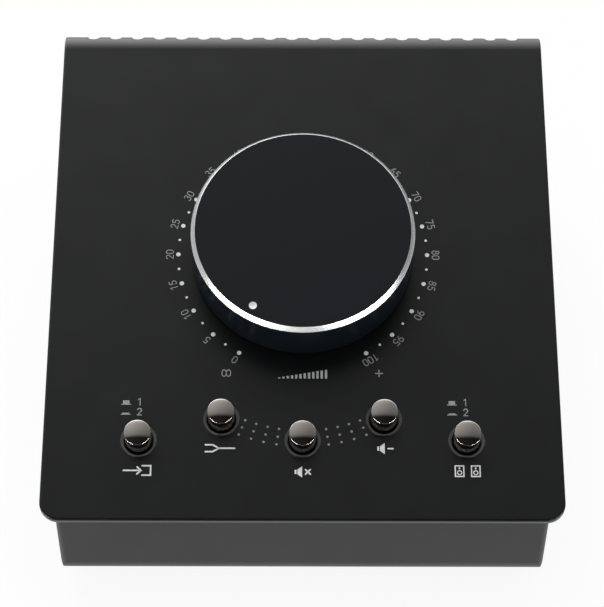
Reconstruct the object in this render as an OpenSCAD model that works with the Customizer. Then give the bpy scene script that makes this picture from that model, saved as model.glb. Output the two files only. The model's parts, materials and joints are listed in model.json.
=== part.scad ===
// Desktop monitor controller: a thick folded cover with a sloped control face, over a folded tray.
// The origin is on the resting plane under the middle of the case. +X is to the right, +Y to the
// rear and +Z up. The control face has a frame of its own: its origin is the knob's axis on the
// face, its X is to the right, its Y runs up the slope and its Z stands square on the face.

/* [Cover] */
// Width of the cover
cover_w = 135; // [130:1:160]
// Thickness of the cover's sheet
cover_t = 2; // [1.6:0.1:2.5]
// From the knob's axis down the slope to the front edge
face_front = 76; // [74:1:90]
// From the knob's axis up the slope to the start of the rear bend
face_rear = 65.4; // [60:0.2:80]
// Slope of the control face, in degrees
face_tilt = 14; // [10:0.5:17]
// Height of the face's front edge above the tray's underside
front_h = 32; // [28:0.5:40]
// Outer radius of the rear bend
bend_r = 6.5; // [5:0.5:9]
// Depth of the cover's rear drop below the centre of the bend
drop_h = 12; // [10.5:0.5:13]
// Radius of the cover's front corners, seen square on the face
corner_r = 5; // [2:0.5:10]
// Rounding of the sheet's edges
sheet_edge_r = 0.4; // [0.2:0.1:0.7]

/* [Vents] */
// Number of vent slots across the bend
vent_count = 20; // [4:1:20]
// Distance of the outermost slots' centres in from the cover's sides
vent_side = 7.9; // [7.2:0.1:12]
// Width of a slot
vent_w = 3.3; // [2:0.1:3.8]
// Where the slots start on the bend, in degrees round it from the face
vent_start = 33.5; // [20:0.5:45]
// How far the slots run below the centre of the bend
vent_drop = 7.5; // [4:0.5:8.5]

/* [Tray] */
// How far the tray's walls stand in from the cover's edges
tray_inset = 3.5; // [3:0.1:6]
// Thickness of the tray's sheet
tray_t = 1.2; // [1:0.1:1.6]
// Outer radius of the fold between the floor and the front wall
front_fold_r = 7; // [2.5:0.5:8]
// Outer radius of the folds between the floor and the side walls
side_fold_r = 7; // [2.5:0.5:8]
// Outer radius of the upright front edges
upright_r = 1.8; // [1.7:0.1:4]
// Height of the lip that holds the rear panel
lip_h = 7; // [6:0.5:8]
// Thickness of the rear panel
rear_t = 2; // [1.5:0.1:2.5]
// Height of the rear panel's top above the cover's lower rear edge
rear_lap = 3; // [1:0.5:4]

/* [Feet] */
// Diameter of a foot
foot_d = 12; // [8:0.5:16]
// Height of a foot
foot_h = 2.5; // [1.5:0.5:5]
// Distance of the feet from the middle, sideways
foot_x = 50; // [30:1:54]
// Distance of the feet from the middle, to front and rear
foot_y = 56; // [30:1:58]

/* [Knob] */
// Diameter of the knob
knob_d = 59.4; // [50:0.2:62]
// Height of the knob's top above the face
knob_top = 15.4; // [14:0.2:20]
// Running gap between the knob and the face
knob_gap = 0.9; // [0.6:0.1:2]
// Height of the cut chamfer round the knob's top
knob_cut_h = 1.25; // [0.6:0.05:1.8]
// Width of the cut chamfer, measured inwards
knob_cut_w = 1.05; // [0.5:0.05:1.8]
// Wall of the turned knob shell
knob_wall = 2.4; // [1.6:0.1:3.2]
// Number of ribs in the knob's core
core_ribs = 6; // [3:1:12]
// Thickness of the core's ribs and plate
core_t = 1.6; // [1.2:0.1:2.4]
// Diameter of the core's hub
hub_d = 11; // [10:0.5:16]
// Diameter of the pointer dot
pointer_d = 2.1; // [1:0.1:4]
// Distance of the pointer dot's centre in from the knob's rim
pointer_in = 3.7; // [3:0.1:8]
// Angle of the pointer at the low end of its turn, clockwise from straight up the slope
pointer_rest = -150; // [-170:1:-90]

/* [Potentiometer] */
// Diameter of the shaft
shaft_d = 6; // [5:0.1:6.35]
// Height of the shaft's tip above the face
shaft_top = 12.2; // [10:0.1:12.4]
// Diameter of the threaded bushing
bushing_d = 9; // [8:0.5:9.5]
// Height of the bushing's top above the face
bushing_top = 4.8; // [4:0.1:5]
// Width across the flats of the bushing's nut
pot_nut_af = 12; // [11:0.5:15]
// Side of the gang housings
pot_w = 17; // [15:0.5:18]
// Number of gangs
pot_gangs = 4; // [1:1:4]
// Length of one gang with its gap
gang_pitch = 5.2; // [4:0.1:5.6]

/* [Buttons] */
// Diameter of a button cap
cap_d = 7; // [5:0.1:7.4]
// Height of a cap's top above the face
cap_rise = 5.6; // [4:0.1:7]
// Travel of a button
cap_travel = 2.4; // [1.5:0.1:2.6]
// Rise of the cap's crown
crown_h = 0.4; // [0.1:0.05:0.6]
// Rounding of the cap's edge
cap_edge_r = 0.35; // [0.25:0.05:1]
// Gap round a cap in its hole
cap_gap = 0.45; // [0.3:0.05:0.8]
// Width of the sunk chamfer round a button's hole
ring_w = 0.75; // [0.4:0.05:1.2]
// Distance of the outer buttons in from the cover's sides
outer_side = 24.9; // [24:0.1:30]
// Sideways distance of the inner buttons from the middle
inner_x = 21.2; // [14:0.1:26]
// Distance of the outer and middle buttons below the knob's axis
low_y = 53.9; // [50:0.1:56]
// Distance of the inner buttons below the knob's axis
high_y = 47.9; // [46:0.1:50]

/* [Push switches] */
// Side of a switch housing
switch_w = 8; // [7:0.1:9]
// Height of a switch housing
switch_h = 8.6; // [8:0.1:10]
// Side of a square plunger
plunger_w = 3.2; // [2.4:0.1:3.6]
// Diameter of a solder pin
pin_d = 0.7; // [0.5:0.05:1]

/* [Boards] */
// Thickness of both circuit boards
board_t = 1.6; // [1:0.1:2]
// Distance of the control board's sides in from the tray's walls
control_side = 12; // [11:0.5:13]
// Distance of the control board's front edge below the knob's axis
control_front = 66; // [64:0.5:67]
// Distance of the control board's rear edge above the knob's axis
control_rear = 24; // [22:1:26]
// Height of the jack board
jack_board_h = 38; // [36:0.5:40]
// How far the jack board runs past the outer jacks' centres
jack_board_side = 12; // [10:0.5:18]
// Width across the flats of a board pillar
pillar_af = 5.5; // [5:0.1:6]
// Distance of the pillars in from the control board's sides
pillar_side = 5; // [4:0.5:6]

/* [Ribbon cable] */
// Width of the ribbon
ribbon_w = 25.4; // [12:0.1:30]
// Thickness of the ribbon
ribbon_t = 0.9; // [0.6:0.1:1.2]
// Radius of the ribbon's bend, on its centre line
ribbon_r = 5; // [4:0.5:5]
// Height of a board header
header_h = 8; // [7:0.1:8.2]
// Width of a board header, across the ribbon's thickness
header_t = 8.8; // [7:0.1:9]
// How far a plugged socket stands out of its header
socket_rise = 3; // [2:0.1:3.2]

/* [Jacks] */
// Distance between jack columns
jack_pitch_x = 24; // [20:0.5:26]
// Distance between the two jack rows
jack_pitch_z = 19; // [17:0.5:20]
// Height of the middle between the rows above the tray's underside
jack_mid_z = 26; // [25.5:0.5:27]
// Side of a jack's square housing
jack_w = 15; // [13:0.5:16]
// Length of a jack's housing behind the rear panel
jack_l = 25; // [24.5:0.5:25]
// Diameter of a jack's threaded nose
nose_d = 9.5; // [9:0.1:11]
// How far the nose stands out of the rear panel
nose_rise = 4; // [3.6:0.1:5]
// Diameter of the plug hole
plug_d = 6.4; // [6.35:0.01:6.5]
// Depth of the plug hole from the nose's tip
plug_l = 29.5; // [28:0.5:29.5]
// Diameter of a jack's round nut
jack_nut_d = 13; // [12:0.5:14]

/* [Fasteners] */
// Nominal diameter of the machine screws
screw_d = 3; // [2.5:0.1:3]
// Diameter of a screw's head
screw_head_d = 5.4; // [5:0.1:5.6]
// Height of a screw's head
screw_head_h = 1.8; // [1.4:0.1:2]
// Depth of a rail's leg under the face
rail_h = 13; // [11:0.5:14]
// Width of a rail's flange against the cover
rail_w = 9; // [6:0.5:9]

/* [Fits] */
// Assembly gap between folded sheets
sheet_gap = 0.15; // [0.05:0.05:0.3]
// Running clearance of the shaft, on the radius
shaft_gap = 0.06; // [0.02:0.01:0.1]
// Clearance of a push or press seat, on each side
seat_gap = 0.05; // [0.02:0.01:0.1]
// Clearance of a screw or neck in its hole, on the radius
hole_gap = 0.15; // [0.1:0.05:0.2]
// Clearance between sliding or facing pieces that must not touch
free_gap = 0.4; // [0.3:0.05:0.5]

/* [Hidden] */
$fn = 64;

// Where the face and the bend lie in the case
face_sin = sin(face_tilt);
face_cos = cos(face_tilt);
front_reach = face_front * face_cos;
rear_reach = face_rear * face_cos + bend_r * face_sin + bend_r;
case_l = front_reach + rear_reach;
nose_reach = nose_rise - cover_t - sheet_gap;
face_y = (front_reach - rear_reach - nose_reach) / 2;
face_z = foot_h + front_h + face_front * face_sin;
rear_y = face_y + rear_reach;
bend_y = rear_y - bend_r;
bend_z = face_z + face_rear * face_sin - bend_r * face_cos;
bend_angle = 90 + face_tilt;

// Inner faces of the sheets
drop_in_y = rear_y - cover_t;
drop_end_z = bend_z - drop_h;
tray_w = cover_w - 2 * tray_inset;
tray_front_y = face_y - front_reach + tray_inset;
floor_z = foot_h + tray_t;
panel_out_y = drop_in_y - sheet_gap;
panel_in_y = panel_out_y - rear_t;
lip_y = panel_in_y - sheet_gap - tray_t;
panel_w = tray_w - 2 * tray_t - 2 * sheet_gap;
panel_top_z = drop_end_z + rear_lap;
vent_pitch = (cover_w - 2 * vent_side) / max(1, vent_count - 1);
lip_screw_z = floor_z + screw_head_d / 2 + sheet_gap;
lip_screw_side = 14;
side_screw_front = 20;
side_screw_rear = 16;
rail_front = 12;
rail_rear = 14;
lip_screw_x = tray_w / 2 - lip_screw_side;

// Depths below the face
under_face = -cover_t;
cap_bore_wall = 1.2;
cap_bore_l = 2;
collar_t = 0.8;
collar_over = 0.8;
collar_top = under_face - free_gap;
collar_end = collar_top - collar_t;
switch_top = collar_end - cap_travel - free_gap;
board_top = switch_top - switch_h;
board_under = board_top - board_t;
cap_hole_d = cap_d + 2 * cap_gap;
ring_d = cap_hole_d + 2 * ring_w;

// Buttons, as places on the face
outer_x = cover_w / 2 - outer_side;
source_at = [-outer_x, -low_y];
mono_at = [-inner_x, -high_y];
mute_at = [0, -low_y];
dim_at = [inner_x, -high_y];
monitor_at = [outer_x, -low_y];
buttons = [source_at, mono_at, mute_at, dim_at, monitor_at];

// Plunger: from inside the cap down into the switch, with room for its travel
plunger_seat = 2.5;
plunger_top = cap_rise - plunger_seat;
plunger_reach = 5;
plunger_end = switch_top - plunger_reach;
pin_rows = [-2.2, 2.2];
pin_steps = [-2.5, 0, 2.5];
pin_l = 3.2;

// Knob and potentiometer
knob_in_r = knob_d / 2 - knob_wall;
knob_in_top = knob_top - knob_wall;
washer_t = 0.6;
pot_washer_d = pot_nut_af + 3;
pot_nut_t = 2.2;
pot_flange_t = 1.6;
pot_flange_end = under_face - pot_flange_t;
pot_end = pot_flange_end - pot_gangs * gang_pitch;
shaft_end = pot_flange_end - gang_pitch / 2;
shaft_flat = shaft_d / 2 - 1.4;
hub_end = bushing_top + 0.8;
pointer_depth = 0.8;
pointer_r = knob_d / 2 - pointer_in;
clip_t = 0.7;
clip_h = 3;
clip_groove = 0.5;
pot_hole_w = pot_w + 3;

// Pillars that carry the control board
control_w = tray_w - 2 * control_side;
pillar_x = control_w / 2 - pillar_side;
pillar_inset = 4;
pillar_places = [
    [-pillar_x, -control_front + pillar_inset], [pillar_x, -control_front + pillar_inset],
    [-pillar_x, control_rear - pillar_inset], [pillar_x, control_rear - pillar_inset]
];

// Jacks on the rear panel
jack_columns = [-1.5, -0.5, 0.5, 1.5] * jack_pitch_x;
jack_top_z = foot_h + jack_mid_z + jack_pitch_z / 2;
jack_low_z = foot_h + jack_mid_z - jack_pitch_z / 2;
jack_rows = [jack_low_z, jack_top_z];
jack_board_w = 3 * jack_pitch_x + 2 * jack_board_side;
jack_back_y = panel_in_y - jack_l;
jack_nut_t = 2.2;
jack_washer_t = 0.8;
jack_washer_d = jack_nut_d + 1.5;

// Ribbon: from the socket under the control board, round one bend, to the jack board
header_wall = 1.1;
header_floor = 2;
header_w = ribbon_w + 7;
header_y = pot_hole_w / 2 + 1.5 + header_t / 2;
plug_face = board_under - header_h - socket_rise;
ribbon_from_y = face_y + header_y * face_cos - plug_face * face_sin;
ribbon_from_z = face_z + header_y * face_sin + plug_face * face_cos;
ribbon_mid_y = ribbon_from_y + ribbon_r * face_cos;
ribbon_mid_z = ribbon_from_z + ribbon_r * face_sin;
ribbon_to_y = jack_back_y - board_t - header_h - socket_rise;
ribbon_to_z = ribbon_mid_z - ribbon_r;

// ---------------------------------------------------------------- frames and small shapes

// Puts children in the control face's own frame
module on_face() {
    translate([0, face_y, face_z]) rotate([face_tilt, 0, 0]) children();
}

module at_button(place) {
    on_face() translate([place.x, place.y, 0]) children();
}

// Turns a Y-Z outline into a solid of the given width, centred on X
module across(width) {
    rotate([90, 0, 90]) linear_extrude(height = width, center = true) children();
}

// A cylinder along Y that starts at y and runs to the rear
module rearward(d, y, length) {
    translate([0, y, 0]) rotate([-90, 0, 0]) cylinder(d = d, h = length);
}

module rounded_rect(w, h, r) {
    square([w - 2 * r, h], center = true);
    square([w, h - 2 * r], center = true);
    for (x = [-1, 1], y = [-1, 1]) {
        translate([x * (w / 2 - r), y * (h / 2 - r)]) circle(r = r);
    }
}

// A pan-head screw with a cross: its head's seat is at z = 0, the head above and the shank below
module pan_screw(length) {
    cross_l = 3;
    cross_w = 0.7;
    cross_depth = 1.1;
    difference() {
        union() {
            cylinder(d = screw_head_d, h = screw_head_h);
            translate([0, 0, -length]) cylinder(d = screw_d, h = length + 0.1);
        }
        for (a = [0, 90]) {
            translate([0, 0, screw_head_h]) rotate([0, 0, a])
                cube([cross_l, cross_w, 2 * cross_depth], center = true);
        }
    }
}

// A shaft with a flat along one side, for the shaft itself and for the hole that fits it
module d_shaft(r, flat, height) {
    intersection() {
        cylinder(r = r, h = height);
        translate([-r, -r, 0]) cube([2 * r, r + flat, height]);
    }
}

// ---------------------------------------------------------------- case

// Section of the cover's sheet, with rounded edges
module sheet_section() {
    rounded_rect(cover_w, cover_t, sheet_edge_r);
}

// The flat control face: full width behind the corners, narrower in front, and two round corners
module face_sheet() {
    straight = face_rear + face_front - corner_r;
    translate([0, face_rear, -cover_t / 2]) rotate([90, 0, 0])
        linear_extrude(height = straight) sheet_section();
    translate([0, face_rear / 2 - face_front / 2, -cover_t / 2]) across(cover_w - 2 * corner_r)
        rounded_rect(face_rear + face_front, cover_t, sheet_edge_r);
    for (side = [-1, 1]) {
        translate([side * (cover_w / 2 - corner_r), -face_front + corner_r, -cover_t / 2])
            rotate_extrude() intersection() {
                rounded_rect(2 * corner_r, cover_t, sheet_edge_r);
                translate([0, -cover_t]) square([corner_r, 2 * cover_t]);
            }
    }
}

// The bend carries the same section round from the end of the face, and the upright drop goes on
module bend_and_drop() {
    mid_r = bend_r - cover_t / 2;
    translate([0, face_rear, -bend_r]) {
        rotate([0, -90, 0]) rotate_extrude(angle = bend_angle)
            translate([mid_r, 0]) rotate(90) sheet_section();
        rotate([-face_tilt, 0, 0]) translate([0, mid_r, -drop_h])
            linear_extrude(height = drop_h) sheet_section();
    }
}

// One vent: a sector out of the bend, with a round upper end, and a slot down the drop
module vent_slot() {
    end_a = vent_start + vent_w / 2 / bend_r * 180 / PI - face_tilt;
    far = 2 * bend_r;
    translate([0, bend_y, bend_z]) {
        across(vent_w) polygon([
            [0, 0], [far * sin(end_a), far * cos(end_a)], [far, far * cos(end_a)], [far, 0]
        ]);
        rotate([-end_a, 0, 0]) translate([0, 0, bend_r - 2 * cover_t])
            cylinder(d = vent_w, h = 3 * cover_t);
        translate([-vent_w / 2, bend_r - 2 * cover_t, -vent_drop + vent_w / 2])
            cube([vent_w, 3 * cover_t, vent_drop - vent_w / 2 + 0.1]);
        translate([0, 0, -vent_drop + vent_w / 2]) rearward(vent_w, bend_r - 2 * cover_t, 3 * cover_t);
    }
}

module top_cover() {
    color("#262626") difference() {
        on_face() {
            face_sheet();
            bend_and_drop();
        }
        for (i = [0 : vent_count - 1]) {
            translate([(i - (vent_count - 1) / 2) * vent_pitch, 0, 0]) vent_slot();
        }
        on_face() translate([0, 0, -2 * cover_t])
            cylinder(d = bushing_d + 2 * hole_gap, h = 3 * cover_t);
        for (place = buttons) {
            at_button(place) {
                translate([0, 0, -2 * cover_t]) cylinder(d = cap_hole_d, h = 3 * cover_t);
                translate([0, 0, -ring_w]) cylinder(d1 = cap_hole_d, d2 = ring_d + 0.2, h = ring_w + 0.1);
            }
        }
    }
}

// Side view of the tray's outside: the front fold, the slope under the cover and its bend
module tray_side(inset, top_gap) {
    y0 = tray_front_y + inset;
    z0 = foot_h + inset;
    r = front_fold_r - inset;
    in_r = bend_r - cover_t - top_gap;
    slope_y = bend_y - in_r * face_sin;
    slope_z = bend_z + in_r * face_cos;
    polygon([
        [y0 + r, z0], [panel_out_y, z0], [panel_out_y, bend_z], [bend_y, bend_z], [slope_y, slope_z],
        [y0, slope_z - (slope_y - y0) * face_sin / face_cos], [y0, z0 + r]
    ]);
    translate([bend_y, bend_z]) circle(r = in_r);
    translate([y0 + r, z0 + r]) circle(r = r);
}

// Rear view of the tray: upright sides and two folds
module tray_rear(inset, height) {
    w = tray_w - 2 * inset;
    r = side_fold_r - inset;
    translate([-w / 2, foot_h + inset + r]) square([w, height]);
    translate([-w / 2 + r, foot_h + inset]) square([w - 2 * r, height]);
    for (side = [-1, 1]) {
        translate([side * (w / 2 - r), foot_h + inset + r]) circle(r = r);
    }
}

// Top view of the tray, with its two front edges rounded
module tray_plan(inset, rear) {
    w = tray_w - 2 * inset;
    r = upright_r - inset;
    y0 = tray_front_y + inset;
    translate([-w / 2, y0 + r]) square([w, rear - y0 - r]);
    translate([-w / 2 + r, y0]) square([w - 2 * r, rear - y0]);
    for (side = [-1, 1]) {
        translate([side * (w / 2 - r), y0 + r]) circle(r = r);
    }
}

module chassis_tray() {
    tall = 2 * front_h + face_front;
    far_y = rear_y + 10;
    color("#34343a") difference() {
        intersection() {
            across(tray_w) tray_side(0, sheet_gap);
            translate([0, far_y, 0]) rotate([90, 0, 0])
                linear_extrude(height = 2 * far_y) tray_rear(0, tall);
            linear_extrude(height = tall) tray_plan(0, panel_out_y);
        }
        difference() {
            intersection() {
                translate([0, far_y, 0]) rotate([90, 0, 0])
                    linear_extrude(height = 2 * far_y) tray_rear(tray_t, tall);
                linear_extrude(height = tall) tray_plan(tray_t, far_y);
                across(tray_w) union() {
                    translate([tray_front_y + tray_t, floor_z + front_fold_r - tray_t])
                        square([case_l, tall]);
                    translate([tray_front_y + front_fold_r, floor_z]) square([case_l, tall]);
                    translate([tray_front_y + front_fold_r, floor_z + front_fold_r - tray_t])
                        circle(r = front_fold_r - tray_t);
                }
            }
            translate([-panel_w / 2 + side_fold_r, lip_y, 0])
                cube([panel_w - 2 * side_fold_r, tray_t, foot_h + lip_h]);
        }
        side_screw_places() cylinder(d = screw_d + 2 * hole_gap, h = 3 * tray_t, center = true);
        lip_screw_places() rearward(screw_d + 2 * seat_gap, lip_y - 1, tray_t + 2);
    }
}

// Axes of the side screws: each starts on the tray's outer wall, with Z pointing out of the case
module side_screw_places() {
    for (side = [-1, 1], y = [-face_front + side_screw_front, face_rear - side_screw_rear]) {
        on_face() translate([side * tray_w / 2, y, under_face - rail_h * 0.6])
            rotate([0, side * 90, 0]) children();
    }
}

module lip_screw_places() {
    for (x = [-lip_screw_x, 0, lip_screw_x]) {
        translate([x, 0, lip_screw_z]) children();
    }
}

module jack_places() {
    for (x = jack_columns, z = jack_rows) {
        translate([x, 0, z]) children();
    }
}

module rear_panel() {
    color("#2b2b2b") difference() {
        translate([-panel_w / 2, panel_in_y, floor_z + sheet_gap])
            cube([panel_w, rear_t, panel_top_z - floor_z - sheet_gap]);
        for (side = [-1, 1]) {
            translate([side * (panel_w / 2 - side_fold_r + 0.2), panel_in_y - 1, floor_z + side_fold_r])
                rotate([-90, 0, 0]) difference() {
                    translate([side < 0 ? -2 * side_fold_r : 0, 0, 0])
                        cube([2 * side_fold_r, 2 * side_fold_r, rear_t + 2]);
                    cylinder(r = side_fold_r - tray_t, h = rear_t + 2);
                }
        }
        jack_places() rearward(nose_d + 2 * hole_gap, panel_in_y - 1, rear_t + 2);
        lip_screw_places() rearward(screw_d + 2 * hole_gap, panel_in_y - 1, rear_t + 2);
    }
}

// Moulded feet: a slight taper, and a shallow hollow in the middle of the sole
module rubber_feet() {
    foot_taper = 1;
    hollow_d = foot_d / 3;
    hollow_depth = 0.8;
    color("#161616") for (x = [-foot_x, foot_x], y = [-foot_y, foot_y]) {
        translate([x, y, 0]) difference() {
            cylinder(d1 = foot_d - foot_taper, d2 = foot_d, h = foot_h);
            translate([0, 0, -1]) cylinder(d = hollow_d, h = hollow_depth + 1);
        }
    }
}

// An angle strip under the cover's edge: a flange against the face and a leg along the tray's wall
module cover_rail(side) {
    rail_x = tray_w / 2 - tray_t - sheet_gap;
    rail_l = face_front + face_rear - rail_front - rail_rear;
    x_leg = side > 0 ? rail_x - tray_t : -rail_x;
    x_flange = side > 0 ? rail_x - rail_w : -rail_x;
    color("#8a8d90") difference() {
        on_face() {
            translate([x_leg, -face_front + rail_front, under_face - rail_h])
                cube([tray_t, rail_l, rail_h]);
            translate([x_flange, -face_front + rail_front, under_face - tray_t])
                cube([rail_w, rail_l, tray_t]);
        }
        side_screw_places() cylinder(d = screw_d + 2 * seat_gap, h = 6 * tray_t, center = true);
    }
}

module left_rail() {
    cover_rail(-1);
}

module right_rail() {
    cover_rail(1);
}

module side_screws() {
    color("#1c1c1c") side_screw_places() pan_screw(tray_t * 3);
}

module rear_screws() {
    color("#1c1c1c") lip_screw_places() translate([0, panel_out_y, 0]) rotate([-90, 0, 0])
        pan_screw(rear_t + tray_t + 1.5);
}

// ---------------------------------------------------------------- knob

module knob_shell() {
    r = knob_d / 2;
    foot_break = 0.4;
    color("#1d1d20") on_face() difference() {
        rotate_extrude($fn = 128) polygon([
            [0, knob_in_top], [0, knob_top], [r - knob_cut_w, knob_top], [r, knob_top - knob_cut_h],
            [r, knob_gap + foot_break], [r - foot_break, knob_gap], [knob_in_r, knob_gap],
            [knob_in_r, knob_in_top]
        ]);
        pointer_place() translate([0, 0, -pointer_depth])
            cylinder(d = pointer_d + 2 * seat_gap, h = pointer_depth + 1);
    }
}

module pointer_place() {
    translate([pointer_r * sin(pointer_rest), pointer_r * cos(pointer_rest), knob_top]) children();
}

module pointer_dot() {
    color("#c8c8c8") on_face() pointer_place() translate([0, 0, -pointer_depth])
        cylinder(d = pointer_d, h = pointer_depth);
}

// Moulded core: a plate under the shell's top, a rim against its wall, a hub for the shaft, and ribs
module knob_core() {
    rim_end = knob_gap + 3;
    rim_r = knob_in_r - seat_gap;
    rim_in_r = rim_r - core_t;
    top = knob_in_top - seat_gap;
    hub_r = hub_d / 2;
    clip_r = hub_r - clip_groove;
    clip_top = hub_end + clip_h;
    rib_end = clip_top + 0.6;
    bite = 0.4;
    color("#4a4a4a") on_face() difference() {
        union() {
            rotate_extrude() polygon([
                [0, hub_end], [clip_r, hub_end], [clip_r, clip_top], [hub_r, clip_top], [hub_r, top - core_t],
                [rim_in_r, top - core_t], [rim_in_r, rim_end], [rim_r, rim_end], [rim_r, top], [0, top]
            ]);
            for (i = [0 : core_ribs - 1]) {
                rotate([0, 0, i * 360 / core_ribs]) translate([hub_r - bite, -core_t / 2, rib_end])
                    cube([rim_in_r - hub_r + 2 * bite, core_t, top - core_t + bite - rib_end]);
            }
        }
        translate([0, 0, hub_end - 1])
            d_shaft(shaft_d / 2 + seat_gap, shaft_flat + seat_gap, shaft_top + seat_gap - hub_end + 1);
    }
}

// Sprung ring with a gap, round the foot of the hub
module knob_clip() {
    inner = hub_d / 2 - clip_groove + seat_gap;
    color("#a8abad") on_face() translate([0, 0, hub_end + 0.1]) difference() {
        cylinder(r = inner + clip_t, h = clip_h - 0.2);
        translate([0, 0, -1]) cylinder(r = inner, h = clip_h + 2);
        translate([0, -1.5, -1]) cube([hub_d, 3, clip_h + 2]);
    }
}

// ---------------------------------------------------------------- potentiometer

module pot_shaft() {
    color("#b9bcc0") on_face() {
        translate([0, 0, shaft_end]) cylinder(d = shaft_d, h = bushing_top - shaft_end);
        translate([0, 0, bushing_top - 0.1]) d_shaft(shaft_d / 2, shaft_flat, shaft_top - bushing_top + 0.1);
    }
}

module pot_bushing() {
    bore = shaft_d + 2 * shaft_gap;
    color("#b08d4a") on_face() difference() {
        union() {
            translate([-pot_w / 2, -pot_w / 2, pot_flange_end]) cube([pot_w, pot_w, pot_flange_t]);
            translate([0, 0, under_face - 0.1]) cylinder(d = bushing_d, h = bushing_top - under_face + 0.1);
        }
        translate([0, 0, pot_flange_end - 1]) cylinder(d = bore, h = bushing_top - pot_flange_end + 2);
    }
}

// Stacked gangs with a waist between each pair
module pot_body() {
    waist = 0.6;
    color("#2f4f3c") on_face() difference() {
        for (i = [0 : pot_gangs - 1]) {
            z = pot_flange_end - (i + 1) * gang_pitch;
            translate([-pot_w / 2, -pot_w / 2, z + waist]) cube([pot_w, pot_w, gang_pitch - waist]);
            translate([0, 0, z]) cylinder(d = pot_w - 2, h = gang_pitch);
        }
        translate([0, 0, shaft_end - free_gap]) cylinder(d = shaft_d + 2 * free_gap, h = gang_pitch + 1);
    }
}

module pot_washer() {
    color("#b9bcc0") on_face() difference() {
        cylinder(d = pot_washer_d, h = washer_t);
        translate([0, 0, -1]) cylinder(d = bushing_d + 2 * hole_gap, h = washer_t + 2);
    }
}

module pot_nut() {
    color("#c2c5c8") on_face() translate([0, 0, washer_t]) difference() {
        cylinder(d = pot_nut_af / cos(30), h = pot_nut_t, $fn = 6);
        translate([0, 0, -1]) cylinder(d = bushing_d + 2 * seat_gap, h = pot_nut_t + 2);
    }
}

// ---------------------------------------------------------------- push buttons

// Half section of a cap: its wall, a round edge that runs smoothly into the crown, and a collar
// that stays under the face
module cap_section() {
    r = cap_d / 2;
    crown_r = (r * r + crown_h * crown_h) / 2 / crown_h;
    crown_z = cap_rise - crown_r;
    edge_z = crown_z + sqrt(pow(crown_r - cap_edge_r, 2) - pow(r - cap_edge_r, 2));
    crown_w = (r - cap_edge_r) * crown_r / (crown_r - cap_edge_r);
    translate([0, collar_end]) square([r + collar_over, collar_t]);
    translate([0, collar_end]) square([r, edge_z - collar_end]);
    translate([r - cap_edge_r, edge_z]) circle(r = cap_edge_r);
    intersection() {
        translate([0, crown_z]) circle(r = crown_r, $fn = 256);
        translate([0, collar_end]) square([crown_w, cap_rise - collar_end]);
    }
}

module button_cap(place) {
    seat_w = plunger_w + 2 * seat_gap;
    seat_l = plunger_top - collar_end + 2 * seat_gap;
    color("#d4d2cc") at_button(place) difference() {
        rotate_extrude() cap_section();
        translate([0, 0, (collar_end + plunger_top) / 2]) cube([seat_w, seat_w, seat_l], center = true);
        translate([0, 0, collar_end - 1]) cylinder(d = cap_d - 2 * cap_bore_wall, h = cap_bore_l + 1);
    }
}

module button_plunger(place) {
    color("#e6e2d8") at_button(place) translate([0, 0, (plunger_top + plunger_end) / 2])
        cube([plunger_w, plunger_w, plunger_top - plunger_end], center = true);
}

// Switch housing: a box with a guide neck, a square well for the plunger and six solder pins
module push_switch(place) {
    well = plunger_w + 2 * free_gap;
    neck_h = 1.2;
    neck_d = switch_w - 1.6;
    body_h = switch_h - neck_h;
    color("#3a5f8a") at_button(place) {
        difference() {
            union() {
                translate([-switch_w / 2, -switch_w / 2, board_top]) cube([switch_w, switch_w, body_h]);
                translate([0, 0, switch_top - neck_h - 0.1]) cylinder(d = neck_d, h = neck_h + 0.1);
            }
            translate([-well / 2, -well / 2, plunger_end - cap_travel - free_gap])
                cube([well, well, switch_h]);
        }
        for (x = pin_rows, y = pin_steps) {
            translate([x, y, board_top - pin_l]) cylinder(d = pin_d, h = pin_l + 0.2);
        }
    }
}

module source_switch() {
    push_switch(source_at);
}

module mono_switch() {
    push_switch(mono_at);
}

module mute_switch() {
    push_switch(mute_at);
}

module dim_switch() {
    push_switch(dim_at);
}

module monitor_switch() {
    push_switch(monitor_at);
}

module source_plunger() {
    button_plunger(source_at);
}

module mono_plunger() {
    button_plunger(mono_at);
}

module mute_plunger() {
    button_plunger(mute_at);
}

module dim_plunger() {
    button_plunger(dim_at);
}

module monitor_plunger() {
    button_plunger(monitor_at);
}

module source_cap() {
    button_cap(source_at);
}

module mono_cap() {
    button_cap(mono_at);
}

module mute_cap() {
    button_cap(mute_at);
}

module dim_cap() {
    button_cap(dim_at);
}

module monitor_cap() {
    button_cap(monitor_at);
}

// ---------------------------------------------------------------- control board

module control_board() {
    color("#1f5a3a") difference() {
        on_face() difference() {
            translate([-control_w / 2, -control_front, board_under])
                cube([control_w, control_front + control_rear, board_t]);
            translate([-pot_hole_w / 2, -pot_hole_w / 2, board_under - 1])
                cube([pot_hole_w, pot_hole_w, board_t + 2]);
            for (p = pillar_places) {
                translate([p.x, p.y, board_under - 1]) cylinder(d = screw_d + 2 * hole_gap, h = board_t + 2);
            }
        }
        for (place = buttons, x = pin_rows, y = pin_steps) {
            at_button(place) translate([x, y, board_under - 1])
                cylinder(d = pin_d + 2 * hole_gap, h = board_t + 2);
        }
    }
}

// Threaded hexagonal pillars, pressed into the underside of the cover
module board_pillars() {
    color("#b9bcc0") on_face() for (p = pillar_places) {
        translate([p.x, p.y, board_top]) difference() {
            cylinder(d = pillar_af / cos(30), h = under_face - board_top, $fn = 6);
            translate([0, 0, -1]) cylinder(d = screw_d + 2 * seat_gap, h = 8);
        }
    }
}

module board_screws() {
    color("#b9bcc0") on_face() for (p = pillar_places) {
        translate([p.x, p.y, board_under]) rotate([180, 0, 0]) pan_screw(board_t + 5);
    }
}

// ---------------------------------------------------------------- rear connectors

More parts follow.
